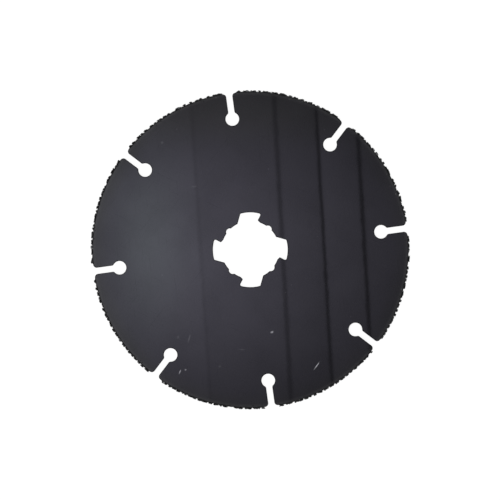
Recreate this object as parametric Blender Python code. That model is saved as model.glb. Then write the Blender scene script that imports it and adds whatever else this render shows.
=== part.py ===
"""Slotted cutting disc for an angle grinder, with a rim of carbide grit brazed to a steel blank.

The disc lies flat: its axis is +Z, its origin is the middle of the arbor hole at half the plate's
thickness, and one lobe of the arbor hole points along +X. Units are metres.

The steel blank is one flat plate, cut through by a four-lobed quick-release arbor hole and by keyhole
slots that divide its rim into sectors. The rim of each sector carries a bead of braze, and the bead
carries a crust of carbide grains.
"""

import math
import random

import bmesh
import bpy
from mathutils import Matrix, Vector

MM = 0.001

# Disc: the diameter is over the crests of the grit.
DISC_DIAMETER = 125.0 * MM
PLATE_THICKNESS = 1.2 * MM

# Rim layers, from the outside in. The grains also stand out past each face of the plate.
GRAIN_PROTRUSION = 0.5 * MM
GRAIN_SIDE_REACH = 0.3 * MM
CRUST_THICKNESS = 0.1 * MM
BRAZE_THICKNESS = 0.12 * MM
LAYER_CLEARANCE = 0.04 * MM

# Arbor hole: a pilot circle, four lobes with one straight and one hooked side, and a notch between lobes.
PILOT_DIAMETER = 22.5 * MM
LOBE_COUNT = 4
LOBE_DEPTH = 3.37 * MM
LOBE_HALF_WIDTH = 3.9 * MM
FLANK_TILT = math.radians(15.5)
HOOK_OFFSET = 2.88 * MM
HOOK_RISE = 0.6 * MM
HOOK_RAMP_WIDTH = 1.0 * MM
UNDERCUT_TILT = math.radians(27.5)
FLANK_CORNER_RADIUS = 0.45 * MM
UNDERCUT_CORNER_RADIUS = 0.6 * MM
HOOK_TIP_RADIUS = 0.3 * MM
NOTCH_RADIUS = 1.5 * MM
NOTCH_DEPTH = 0.76 * MM
NOTCH_PHASE = math.radians(49.3)

# Keyhole slots: each runs in from the rim to a round end.
SLOT_COUNT = 8
SLOT_PHASE = math.radians(7.83)
SLOT_WIDTH = 2.42 * MM
SLOT_END_DIAMETER = 5.3 * MM
SLOT_END_INSET = 10.1 * MM
SLOT_CORNER_RADIUS = 1.35 * MM
SLOT_NECK_RADIUS = 0.9 * MM

# Carbide grains: crushed angular lumps, clear of each other in one staggered row and rooted in the crust.
GRAIN_PITCH = 1.25 * MM
GRAIN_SIZE = 0.9 * MM
GRAIN_JITTER = 0.12 * MM
GRAIN_STAGGER = 0.26 * MM
GRAIN_CLEARANCE = 0.06 * MM
GRAIN_SEED = 11

# How unlike the grains are: each is a share of a size above, and the drift a share of the pitch.
GRAIN_SIZE_SPREAD = 0.2
GRAIN_HEIGHT_SPREAD = 0.45
GRAIN_WIDTH_SPREAD = 0.25
GRAIN_DRIFT = 0.1
SHALLOWEST_ROOT = 0.3
DEEPEST_ROOT = 0.8

# How far each rim layer stops short of the blank's rounded slot corner.
BRAZE_SETBACK = 0.05 * MM
CRUST_SETBACK = 0.3 * MM
GRAIN_SETBACK = 0.5 * MM

# Facets: the largest turn between two points of an arc.
RIM_STEP = math.radians(2.5)
SLOT_ARC_STEP = math.radians(16.0)
LOBE_ARC_STEP = math.radians(5.0)
LOBE_CORNER_STEP = math.radians(32.0)
WELD_DISTANCE = 0.001 * MM
SMOOTH_ANGLE = math.radians(30.0)

# Radii and angles that follow from the sizes above.
DISC_RADIUS = DISC_DIAMETER / 2
CRUST_OUTER_RADIUS = DISC_RADIUS - GRAIN_PROTRUSION
CRUST_INNER_RADIUS = CRUST_OUTER_RADIUS - CRUST_THICKNESS
BRAZE_OUTER_RADIUS = CRUST_INNER_RADIUS - LAYER_CLEARANCE
BRAZE_INNER_RADIUS = BRAZE_OUTER_RADIUS - BRAZE_THICKNESS
BLANK_RADIUS = BRAZE_INNER_RADIUS - LAYER_CLEARANCE
RIM_WIDTH = PLATE_THICKNESS + 2 * GRAIN_SIDE_REACH
PILOT_RADIUS = PILOT_DIAMETER / 2
LOBE_RADIUS = PILOT_RADIUS + LOBE_DEPTH
SLOT_PITCH = math.tau / SLOT_COUNT
LOBE_PITCH = math.tau / LOBE_COUNT
AXIS = Vector((0.0, 0.0))

# Colour, roughness and metallic value of each finish.
BLACK_COAT = ("black_coat", (0.045, 0.046, 0.052, 1.0), 0.42, 0.0)
DARK_BRAZE = ("dark_braze", (0.05, 0.05, 0.052, 1.0), 0.55, 0.6)
DARK_CARBIDE = ("dark_carbide", (0.028, 0.028, 0.03, 1.0), 0.5, 0.3)


def clear_scene():
    """Removes whatever the scene holds."""
    for obj in list(bpy.data.objects):
        bpy.data.objects.remove(obj, do_unlink=True)


def new_collection(name):
    """A new collection, linked to the scene."""
    collection = bpy.data.collections.new(name)
    bpy.context.scene.collection.children.link(collection)
    return collection


def new_finish(name, colour, roughness, metallic):
    """A material with a Principled BSDF of one colour."""
    material = bpy.data.materials.new(name)
    material.use_nodes = True
    shader = material.node_tree.nodes["Principled BSDF"]
    shader.inputs["Base Color"].default_value = colour
    shader.inputs["Roughness"].default_value = roughness
    shader.inputs["Metallic"].default_value = metallic
    return material


def polar(radius, angle):
    """The point at this radius and angle from the disc's axis."""
    return Vector((radius * math.cos(angle), radius * math.sin(angle)))


def angle_of(point):
    """The angle of a point about the disc's axis."""
    return math.atan2(point.y, point.x)


def on_circle(radius, offset):
    """The point of a circle about the axis that lies this far to the side of the +X axis."""
    return Vector((math.sqrt(radius**2 - offset**2), offset))


def turned(points, angle):
    """The points, turned about the disc's axis."""
    turn = Matrix.Rotation(angle, 2)
    return [turn @ point for point in points]


def arc(centre, radius, start, end, largest_step):
    """Points along an arc from one angle to the other, both ends included."""
    count = max(1, math.ceil(abs(end - start) / largest_step))
    return [centre + polar(radius, start + (end - start) * i / count) for i in range(count + 1)]


def line_to_circle(point, direction, radius):
    """Where the line from this point first meets the circle about the axis, from inside or outside it."""
    towards = point.dot(direction)
    root = math.sqrt(towards**2 - point.length_squared + radius**2)
    inside = point.length < radius
    return point + direction * (root - towards if inside else -root - towards)


def rounded_corner(before, corner, after, radius):
    """Points of the arc that rounds the corner between its two neighbours."""
    back = (before - corner).normalized()
    forth = (after - corner).normalized()
    half_angle = back.angle(forth) / 2
    setback = radius / math.tan(half_angle)
    centre = corner + (back + forth).normalized() * (radius / math.sin(half_angle))
    start = angle_of(corner + back * setback - centre)
    turn = (angle_of(corner + forth * setback - centre) - start + math.pi) % math.tau - math.pi
    return arc(centre, radius, start, start + turn, LOBE_CORNER_STEP)


def lobe_outline():
    """One lobe of the arbor hole, on the +X axis, from the hooked side round to the straight side."""
    ramp_foot = on_circle(PILOT_RADIUS, -(HOOK_OFFSET + HOOK_RAMP_WIDTH))
    hook_tip = on_circle(PILOT_RADIUS + HOOK_RISE, -HOOK_OFFSET)
    undercut_corner = line_to_circle(hook_tip, polar(1.0, -UNDERCUT_TILT), LOBE_RADIUS)
    flank_corner = on_circle(LOBE_RADIUS, LOBE_HALF_WIDTH)
    flank_foot = line_to_circle(flank_corner, polar(1.0, math.pi - FLANK_TILT), PILOT_RADIUS)
    outer = arc(AXIS, LOBE_RADIUS, angle_of(undercut_corner), angle_of(flank_corner), LOBE_ARC_STEP)
    return [
        ramp_foot,
        *rounded_corner(ramp_foot, hook_tip, undercut_corner, HOOK_TIP_RADIUS),
        *rounded_corner(hook_tip, undercut_corner, outer[1], UNDERCUT_CORNER_RADIUS),
        *outer[1:-1],
        *rounded_corner(outer[-2], flank_corner, flank_foot, FLANK_CORNER_RADIUS),
        flank_foot,
    ]


def notch_outline():
    """The round notch in the pilot circle between the lobes on the +X and +Y axes."""
    reach = PILOT_RADIUS + NOTCH_DEPTH - NOTCH_RADIUS
    half = math.acos((PILOT_RADIUS**2 - reach**2 - NOTCH_RADIUS**2) / (2 * reach * NOTCH_RADIUS))
    centre = polar(reach, NOTCH_PHASE)
    return arc(centre, NOTCH_RADIUS, NOTCH_PHASE - half, NOTCH_PHASE + half, SLOT_ARC_STEP)


def arbor_outline():
    """The arbor hole: the lobes, with the pilot circle and a notch between each two."""
    lobe = lobe_outline()
    notch = notch_outline()
    before = arc(AXIS, PILOT_RADIUS, angle_of(lobe[-1]), angle_of(notch[0]), LOBE_ARC_STEP)
    after = arc(AXIS, PILOT_RADIUS, angle_of(notch[-1]), angle_of(lobe[0]) + LOBE_PITCH, LOBE_ARC_STEP)
    quarter = [*lobe, *before[1:-1], *notch, *after[1:-1]]
    return [point for i in range(LOBE_COUNT) for point in turned(quarter, i * LOBE_PITCH)]


def slot_corner_centre():
    """Centre of the rounded corner where a slot on the +X axis meets the rim, on its +Y side."""
    side = SLOT_WIDTH / 2 + SLOT_CORNER_RADIUS
    return on_circle(BLANK_RADIUS - SLOT_CORNER_RADIUS, side)


def slot_outline():
    """A keyhole slot on the +X axis, from the rim before it round to the rim after it."""
    corner = slot_corner_centre()
    rim_angle = angle_of(corner)
    end_centre = Vector((BLANK_RADIUS - SLOT_END_INSET, 0))
    end_radius = SLOT_END_DIAMETER / 2
    neck = end_centre + on_circle(end_radius + SLOT_NECK_RADIUS, SLOT_WIDTH / 2 + SLOT_NECK_RADIUS)
    mouth = angle_of(neck - end_centre)
    half = [
        *arc(end_centre, end_radius, math.pi, mouth, SLOT_ARC_STEP),
        *arc(neck, SLOT_NECK_RADIUS, mouth - math.pi, -math.pi / 2, SLOT_ARC_STEP)[1:],
        *arc(corner, SLOT_CORNER_RADIUS, -math.pi / 2, rim_angle, SLOT_ARC_STEP),
    ]
    mirrored = [Vector((point.x, -point.y)) for point in reversed(half)]
    return [*mirrored[:-1], *half]


def blank_outline():
    """The blank's outer edge: the slots, joined by stretches of the rim."""
    slot = slot_outline()
    rim = arc(AXIS, BLANK_RADIUS, angle_of(slot[-1]), angle_of(slot[0]) + SLOT_PITCH, RIM_STEP)
    sector = [*slot, *rim[1:-1]]
    return [point for i in range(SLOT_COUNT) for point in turned(sector, SLOT_PHASE + i * SLOT_PITCH)]


def sector_outline(inner_radius, outer_radius, half_angle):
    """A strip of the rim between two radii, centred on the +X axis."""
    outer = arc(AXIS, outer_radius, -half_angle, half_angle, RIM_STEP)
    inner = arc(AXIS, inner_radius, half_angle, -half_angle, RIM_STEP)
    return [*outer, *inner]


def layer_half_angle(setback):
    """Half the angle that a rim layer covers, if it stops this far short of the slot's rounded corner."""
    corner_end = angle_of(slot_corner_centre()) + setback / BLANK_RADIUS
    return SLOT_PITCH / 2 - corner_end


def extruded(name, outlines, thickness):
    """A mesh of this thickness, centred on the plane Z = 0, from closed flat outlines."""
    curve = bpy.data.curves.new(name, "CURVE")
    curve.dimensions = "2D"
    curve.fill_mode = "BOTH"
    curve.extrude = thickness / 2
    for outline in outlines:
        spline = curve.splines.new("POLY")
        spline.points.add(len(outline) - 1)
        for point, place in zip(spline.points, outline):
            point.co = (place.x, place.y, 0.0, 1.0)
        spline.use_cyclic_u = True
    guide = bpy.data.objects.new(name + "_outline", curve)
    bpy.context.scene.collection.objects.link(guide)
    graph = bpy.context.evaluated_depsgraph_get()
    mesh = bpy.data.meshes.new_from_object(guide.evaluated_get(graph))
    bpy.data.objects.remove(guide)
    mesh.name = name
    return cleaned(mesh)


def cleaned(mesh):
    """The mesh with its caps welded to its sides and its faces pointing out."""
    work = bmesh.new()
    work.from_mesh(mesh)
    bmesh.ops.remove_doubles(work, verts=work.verts, dist=WELD_DISTANCE)
    bmesh.ops.recalc_face_normals(work, faces=work.faces)
    work.to_mesh(mesh)
    work.free()
    mesh.shade_smooth()
    mesh.set_sharp_from_angle(angle=SMOOTH_ANGLE)
    return mesh


def new_part(name, outlines, finish, collection, parent, turn=0.0):
    """An object for one sub-part as thick as the plate, turned about the disc's axis and carried by it."""
    part = bpy.data.objects.new(name, extruded(name, outlines, PLATE_THICKNESS))
    part.data.materials.append(finish)
    part.parent = parent
    part.rotation_euler.z = turn
    collection.objects.link(part)
    return part


def sector_turn(index):
    """The angle of the middle of one sector of the rim."""
    return SLOT_PHASE + (index + 0.5) * SLOT_PITCH


def settle_grain(verts, angle, room, dice):
    """Squeezes a grain to a height and a width of its own and to its room along the rim, and roots it."""
    height = GRAIN_PROTRUSION * dice.uniform(1 - GRAIN_HEIGHT_SPREAD, 1)
    half_width = RIM_WIDTH / 2 * dice.uniform(1 - GRAIN_WIDTH_SPREAD, 1)
    root = CRUST_THICKNESS * dice.uniform(SHALLOWEST_ROOT, DEEPEST_ROOT)
    proud = max(vert.co.xy.length for vert in verts) - CRUST_OUTER_RADIUS
    long = max(abs(angle_of(vert.co) - angle) for vert in verts)
    wide = max(abs(vert.co.z) for vert in verts)
    for vert in verts:
        out = max((vert.co.xy.length - CRUST_OUTER_RADIUS) * height / proud, -root)
        along = (angle_of(vert.co) - angle) * min(1, room / long)
        spot = polar(CRUST_OUTER_RADIUS + out, angle + along)
        vert.co = (spot.x, spot.y, vert.co.z * min(1, half_width / wide))


def add_grain(work, dice, angle, room, side):
    """Adds one crushed grain to the mesh, at this angle along the crust and to this side of its middle."""
    size = GRAIN_SIZE * dice.uniform(1 - GRAIN_SIZE_SPREAD, 1 + GRAIN_SIZE_SPREAD)
    middle = Vector((*polar(CRUST_OUTER_RADIUS, angle), side * GRAIN_STAGGER))
    axis = Vector([dice.gauss(0, 1) for _ in range(3)])
    place = Matrix.Translation(middle) @ Matrix.Rotation(dice.uniform(0, math.tau), 4, axis)
    lump = bmesh.ops.create_cube(work, size=size, matrix=place)
    for vert in lump["verts"]:
        vert.co += Vector([dice.uniform(-GRAIN_JITTER, GRAIN_JITTER) for _ in range(3)])
    settle_grain(lump["verts"], angle, room, dice)


def grains_mesh(name, dice):
    """The grains of one sector, centred on the +X axis, as separate lumps."""
    half_angle = layer_half_angle(GRAIN_SETBACK)
    count = max(1, round(2 * half_angle * DISC_RADIUS / GRAIN_PITCH))
    step = 2 * half_angle / count
    room = step * (0.5 - GRAIN_DRIFT) - GRAIN_CLEARANCE / 2 / DISC_RADIUS
    work = bmesh.new()
    for i in range(count):
        angle = step * (i + 0.5 + dice.uniform(-GRAIN_DRIFT, GRAIN_DRIFT)) - half_angle
        add_grain(work, dice, angle, room, 1 if i % 2 else -1)
    bmesh.ops.recalc_face_normals(work, faces=work.faces)
    mesh = bpy.data.meshes.new(name)
    work.to_mesh(mesh)
    work.free()
    return mesh


def add_blank(finish, collection, parent):
    """The slotted steel blank."""
    new_part("steel_blank", [blank_outline(), arbor_outline()], finish, collection, parent)


def add_braze_beads(finish, collection, parent):
    """One bead of braze on the rim of each sector."""
    outline = sector_outline(BRAZE_INNER_RADIUS, BRAZE_OUTER_RADIUS, layer_half_angle(BRAZE_SETBACK))
    for i in range(SLOT_COUNT):
        new_part(f"braze_bead_{i + 1}", [outline], finish, collection, parent, sector_turn(i))


def add_grit(finish, collection, cutters, parent):
    """One crust on the bead of each sector, joined to grains of its own."""
    dice = random.Random(GRAIN_SEED)
    outline = sector_outline(CRUST_INNER_RADIUS, CRUST_OUTER_RADIUS, layer_half_angle(CRUST_SETBACK))
    for i in range(SLOT_COUNT):
        crust = new_part(f"carbide_grit_{i + 1}", [outline], finish, collection, parent, sector_turn(i))
        grains = bpy.data.objects.new(f"grains_{i + 1}", grains_mesh(f"grains_{i + 1}", dice))
        grains.rotation_euler.z = sector_turn(i)
        grains.hide_render = True
        grains.display_type = "WIRE"
        cutters.objects.link(grains)
        join = crust.modifiers.new("join_grains", "BOOLEAN")
        join.operation = "UNION"
        join.object = grains


def main():
    """Builds the disc."""
    clear_scene()
    parts = new_collection("grit_cutting_disc")
    cutters = new_collection("cutters")
    disc = bpy.data.objects.new("grit_cutting_disc", None)
    parts.objects.link(disc)
    add_blank(new_finish(*BLACK_COAT), parts, disc)
    add_braze_beads(new_finish(*DARK_BRAZE), parts, disc)
    add_grit(new_finish(*DARK_CARBIDE), parts, cutters, disc)


main()
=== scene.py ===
"""Looks of a slotted cutting disc with a rim of carbide grit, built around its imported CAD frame.

Every piece stands in the CAD's own frame, in metres: the disc lies flat with its axis along +Z, its
origin is the middle of the arbor hole at half the plate's thickness, and one lobe of the hole points
along +X. The coated blank, the eight beads of braze and the eight crusts of grit each replace one CAD
node and ride on the disc's only body.
"""

import logging
import math
import random
from collections.abc import Sequence
from dataclasses import dataclass, field
from enum import Enum
from typing import Any

import bpy
from bpy.types import Material, Mesh, Node, NodeSocket, NodeTree, Object
from mathutils import Matrix, Vector


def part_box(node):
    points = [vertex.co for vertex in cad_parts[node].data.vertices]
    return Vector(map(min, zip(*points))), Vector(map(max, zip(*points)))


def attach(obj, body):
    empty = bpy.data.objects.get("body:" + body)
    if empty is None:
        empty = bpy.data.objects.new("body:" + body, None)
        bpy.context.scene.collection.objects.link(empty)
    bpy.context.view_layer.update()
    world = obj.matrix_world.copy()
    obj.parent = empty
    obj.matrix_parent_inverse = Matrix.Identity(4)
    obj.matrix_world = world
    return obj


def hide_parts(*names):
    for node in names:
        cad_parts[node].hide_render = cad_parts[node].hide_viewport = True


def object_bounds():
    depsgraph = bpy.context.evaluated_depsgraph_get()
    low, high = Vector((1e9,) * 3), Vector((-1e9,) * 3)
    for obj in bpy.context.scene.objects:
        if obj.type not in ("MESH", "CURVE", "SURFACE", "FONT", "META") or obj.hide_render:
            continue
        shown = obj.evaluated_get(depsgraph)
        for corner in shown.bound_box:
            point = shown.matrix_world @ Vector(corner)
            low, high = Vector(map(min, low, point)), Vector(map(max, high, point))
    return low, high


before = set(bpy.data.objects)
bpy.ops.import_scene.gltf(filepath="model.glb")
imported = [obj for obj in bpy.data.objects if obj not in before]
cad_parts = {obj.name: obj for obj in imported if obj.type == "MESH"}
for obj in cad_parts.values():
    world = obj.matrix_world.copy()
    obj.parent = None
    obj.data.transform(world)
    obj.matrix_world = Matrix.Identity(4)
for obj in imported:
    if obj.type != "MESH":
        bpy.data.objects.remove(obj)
CAD_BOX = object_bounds()

LOG = logging.getLogger("cutting_disc")
MM = 0.001
BODY = "root"
AXIS = Vector((0.0, 0.0))
NOISE_LOW = 0.3
NOISE_HIGH = 0.7

Triple = tuple[float, float, float]
Rgba = tuple[float, float, float, float]
Sockets = dict[str, NodeSocket]


class Slot(Enum):
    """The record's material slots."""

    COAT = "black_coat"
    BRAZE = "dark_braze"
    GRIT = "dark_carbide"


class Grade(Enum):
    """The grades of crushed carbide: two on the rim, and the stray grains beside it."""

    COARSE = "coarse"
    FINE = "fine"
    STRAY = "stray"


class Kind(Enum):
    """The kinds of socket on a shared effect."""

    NUMBER = "NodeSocketFloat"
    VECTOR = "NodeSocketVector"
    COLOUR = "NodeSocketColor"


# Plane geometry of the outlines


def polar(radius: float, angle: float) -> Vector:
    """The point at this radius and angle from the disc's axis."""
    return Vector((radius * math.cos(angle), radius * math.sin(angle)))


def angle_of(point: Vector) -> float:
    """The angle of a point about the disc's axis."""
    return math.atan2(point.y, point.x)


def on_circle(radius: float, offset: float) -> Vector:
    """The point of a circle about the axis that lies this far to the side of the +X axis."""
    return Vector((math.sqrt(radius**2 - offset**2), offset))


def random_direction(dice: random.Random) -> Vector:
    """A vector in a random direction."""
    return Vector([dice.gauss(0.0, 1.0) for _ in range(3)])


def turned(points: Sequence[Vector], angle: float) -> list[Vector]:
    """The points, turned about the disc's axis in its plane."""
    turn = Matrix.Rotation(angle, 2)
    return [turn @ point for point in points]


def about_axis(angle: float) -> Matrix:
    """A turn about the disc's axis, in space."""
    return Matrix.Rotation(angle, 4, "Z")


def arc(centre: Vector, radius: float, start: float, end: float, largest_step: float) -> list[Vector]:
    """Points along an arc.

    Args:
        centre: The arc's centre.
        radius: The arc's radius.
        start: The angle of the first point.
        end: The angle of the last point.
        largest_step: The largest turn between two points.

    Returns:
        The points, both ends included.
    """
    count = max(1, math.ceil(abs(end - start) / largest_step))
    return [centre + polar(radius, start + (end - start) * i / count) for i in range(count + 1)]


def line_to_circle(point: Vector, direction: Vector, radius: float) -> Vector:
    """Where a line first meets a circle about the axis.

    Args:
        point: The start of the line, inside or outside the circle.
        direction: The line's direction, of length 1.
        radius: The circle's radius.

    Returns:
        The first point of the circle along the line.
    """
    towards = point.dot(direction)
    root = math.sqrt(towards**2 - point.length_squared + radius**2)
    inside = point.length < radius
    return point + direction * (root - towards if inside else -root - towards)


def rounded_corner(
    before: Vector, corner: Vector, after: Vector, radius: float, step: float,
) -> list[Vector]:
    """Points of the arc that rounds a corner.

    Args:
        before: The outline's point before the corner.
        corner: The corner itself.
        after: The outline's point after the corner.
        radius: The radius that rounds it.
        step: The largest turn between two points.

    Returns:
        The arc's points, both ends included.
    """
    back = (before - corner).normalized()
    forth = (after - corner).normalized()
    half_angle = back.angle(forth) / 2
    setback = radius / math.tan(half_angle)
    centre = corner + (back + forth).normalized() * (radius / math.sin(half_angle))
    start = angle_of(corner + back * setback - centre)
    turn = (angle_of(corner + forth * setback - centre) - start + math.pi) % math.tau - math.pi
    return arc(centre, radius, start, start + turn, step)


# Moves at the modelling bench


def take(obj: Object) -> None:
    """Makes this object the only one that is selected, and the active one.

    Args:
        obj: The object.
    """
    if bpy.context.mode != "OBJECT":
        bpy.ops.object.mode_set(mode="OBJECT")
    bpy.ops.object.select_all(action="DESELECT")
    obj.select_set(True)
    bpy.context.view_layer.objects.active = obj


def put_down_everything() -> None:
    """Deselects every object, the CAD nodes included."""
    bpy.ops.object.select_all(action="DESELECT")
    bpy.context.view_layer.objects.active = None


def apply_modifier(obj: Object, kind: str, **settings: Any) -> None:
    """Adds a modifier to an object and applies it.

    Args:
        obj: The object.
        kind: Blender's name for the kind of modifier.
        settings: The modifier's properties.
    """
    modifier = obj.modifiers.new(kind.lower(), kind)
    for name, value in settings.items():
        setattr(modifier, name, value)
    take(obj)
    bpy.ops.object.modifier_apply(modifier=modifier.name)


def flat_sheet(name: str, outline: Sequence[Vector], height: float) -> Object:
    """A flat sheet with this outline.

    Args:
        name: The object's name.
        outline: The sheet's edge, counter-clockwise.
        height: The sheet's height above the origin.

    Returns:
        A new object, of one face.
    """
    put_down_everything()
    bpy.ops.mesh.primitive_circle_add(vertices=len(outline), fill_type="NGON")
    sheet = bpy.context.active_object
    sheet.name = sheet.data.name = name
    for vert, point in zip(sheet.data.vertices, outline, strict=True):
        vert.co = (point.x, point.y, height)
    return sheet


def thicken(sheet: Object, height: float) -> None:
    """Pulls a flat sheet up into a plate.

    Args:
        sheet: The sheet, at the height of the plate's lower face.
        height: The plate's thickness.
    """
    take(sheet)
    bpy.ops.object.mode_set(mode="EDIT")
    bpy.ops.mesh.select_all(action="SELECT")
    bpy.ops.mesh.extrude_region_move(TRANSFORM_OT_translate={"value": (0.0, 0.0, height)})
    bpy.ops.mesh.select_all(action="SELECT")
    bpy.ops.mesh.normals_make_consistent(inside=False)
    bpy.ops.object.mode_set(mode="OBJECT")


def select_faces(obj: Object, chosen: Sequence[bool]) -> None:
    """Opens an object in edit mode with some of its faces selected.

    Args:
        obj: The object.
        chosen: For each face, whether it is selected.
    """
    take(obj)
    bpy.ops.object.mode_set(mode="EDIT")
    bpy.ops.mesh.select_mode(type="FACE")
    bpy.ops.mesh.select_all(action="DESELECT")
    bpy.ops.object.mode_set(mode="OBJECT")
    obj.data.polygons.foreach_set("select", chosen)
    bpy.ops.object.mode_set(mode="EDIT")


def seat(piece: Object, node: str) -> None:
    """Puts a finished piece in the place of a CAD node.

    Args:
        piece: The piece, with its place in its mesh.
        node: The CAD node that it stands for.
    """
    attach(piece, BODY)
    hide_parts(node)
    LOG.info("%s stands for %s: %d faces", piece.name, node, len(piece.data.polygons))


def dress_all(pieces: Sequence[Object], material: Material, node: str) -> None:
    """Gives the pieces of all sectors their finish and seats them.

    Args:
        pieces: The pieces, in the order of the sectors.
        material: Their finish.
        node: The name of their CAD nodes, with a place for the sector's number.
    """
    for i, piece in enumerate(pieces):
        piece.data.materials.append(material)
        seat(piece, node.format(i + 1))


# Shader nodes


class NodeSheet:
    """A node tree, with short ways to add nodes and join them."""

    def __init__(self, tree: NodeTree) -> None:
        """Takes up a node tree, with whatever nodes it holds."""
        self.tree = tree

    def add(self, kind: str, inputs: dict[Any, Any] | None = None, **settings: Any) -> Node:
        """Adds a node.

        Args:
            kind: Blender's name for the kind of node.
            inputs: For each input, by name or number, a socket to join it to or a value to set it to.
            settings: The node's own properties.

        Returns:
            The new node.
        """
        node = self.tree.nodes.new(kind)
        for name, value in settings.items():
            setattr(node, name, value)
        self.join(node, inputs or {})
        return node

    def join(self, node: Node, inputs: dict[Any, Any]) -> None:
        """Joins or sets some of a node's inputs.

        Args:
            node: The node.
            inputs: For each input, by name or number, a socket to join it to or a value to set it to.
        """
        for name, source in inputs.items():
            self.feed(node.inputs[name], source)

    def feed(self, socket: NodeSocket, source: Any) -> None:
        """Joins an input to a socket, or sets it to a value.

        Args:
            socket: The input.
            source: The socket or the value.
        """
        if isinstance(source, NodeSocket):
            self.tree.links.new(source, socket)
        else:
            socket.default_value = source

    def math(self, operation: str, *sources: Any) -> NodeSocket:
        """The result of a Math node.

        Args:
            operation: Blender's name for the operation.
            sources: The operation's inputs, each a socket or a number.

        Returns:
            The node's output.
        """
        return self.add("ShaderNodeMath", dict(enumerate(sources)), operation=operation).outputs[0]

    def vector(self, operation: str, *sources: Any) -> NodeSocket:
        """The result of a Vector Math node.

        Args:
            operation: Blender's name for the operation.
            sources: The operation's inputs, each a socket or three numbers.

        Returns:
            The node's output: a number for a length or a dot product, and a vector otherwise.
        """
        node = self.add("ShaderNodeVectorMath", dict(enumerate(sources)), operation=operation)
        return node.outputs["Value" if operation in ("LENGTH", "DOT_PRODUCT") else "Vector"]

    def turn(self, place: NodeSocket, angle: Any) -> NodeSocket:
        """Coordinates, turned about the disc's axis."""
        inputs = {"Vector": place, "Angle": angle}
        return self.add("ShaderNodeVectorRotate", inputs, rotation_type="Z_AXIS").outputs[0]

    def ramp(self, source: Any, low: float, high: Any, start: float, end: float) -> NodeSocket:
        """A number carried smoothly from one range to another.

        Args:
            source: The number.
            low: Where the first range starts.
            high: Where the first range ends.
            start: What low becomes.
            end: What high becomes.

        Returns:
            The carried number, held inside the second range.
        """
        inputs = {"Value": source, "From Min": low, "From Max": high, "To Min": start, "To Max": end}
        return self.add("ShaderNodeMapRange", inputs, interpolation_type="SMOOTHSTEP").outputs["Result"]

    def noise(self, place: Any, grain: float, detail: float = 2.0) -> NodeSocket:
        """Noise over the surface.

        Args:
            place: The coordinates.
            grain: The size of the noise's lumps, in metres.
            detail: How many finer layers it has.

        Returns:
            The noise, from 0 to 1.
        """
        inputs = {"Vector": place, "Scale": 1.0 / grain, "Detail": detail}
        return self.add("ShaderNodeTexNoise", inputs).outputs["Fac"]

    def blend(self, share: Any, first: Any, second: Any) -> NodeSocket:
        """A mix of two colours.

        Args:
            share: How much of the second colour shows.
            first: The first colour.
            second: The second colour.

        Returns:
            The mixed colour.
        """
        node = self.add("ShaderNodeMix", data_type="RGBA")
        for name, source in (("Factor_Float", share), ("A_Color", first), ("B_Color", second)):
            self.feed(next(s for s in node.inputs if s.identifier == name), source)
        return next(s for s in node.outputs if s.identifier == "Result_Color")

    def between(self, share: Any, first: Any, second: Any) -> NodeSocket:
        """A number between two numbers.

        Args:
            share: How much of the second number counts.
            first: The first number.
            second: The second number.

        Returns:
            The number.
        """
        return self.add("ShaderNodeMix", {"Factor": share, "A": first, "B": second}).outputs["Result"]

    def bump(self, height: Any, depth: float, under: Any = None) -> NodeSocket:
        """A bumpy normal.

        Args:
            height: The height, from 0 to 1.
            depth: What a height of 1 measures, in metres.
            under: The normal that the bumps lie on, if it isn't the mesh's own.

        Returns:
            The normal.
        """
        inputs = {"Height": height, "Distance": depth}
        if under is not None:
            inputs["Normal"] = under
        return self.add("ShaderNodeBump", inputs).outputs["Normal"]

    def group(self, tree: NodeTree, inputs: dict[str, Any]) -> Node:
        """Places a node group, with its inputs joined or set."""
        return self.add("ShaderNodeGroup", inputs, node_tree=tree)


def effect(
    name: str, inputs: dict[str, Kind], outputs: dict[str, Kind],
) -> tuple[NodeSheet, Sockets, Sockets]:
    """Starts an effect that materials share.

    Args:
        name: The effect's name.
        inputs: The kind of socket of each named input.
        outputs: The kind of socket of each named output.

    Returns:
        The effect's node sheet, and its input and output sockets by name, as seen from inside.
    """
    tree = bpy.data.node_groups.new(name, "ShaderNodeTree")
    for way, sockets in (("INPUT", inputs), ("OUTPUT", outputs)):
        for label, kind in sockets.items():
            tree.interface.new_socket(label, in_out=way, socket_type=kind.value)
    sheet = NodeSheet(tree)
    given = {socket.name: socket for socket in sheet.add("NodeGroupInput").outputs if socket.name}
    made = {socket.name: socket for socket in sheet.add("NodeGroupOutput").inputs if socket.name}
    return sheet, given, made


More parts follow.
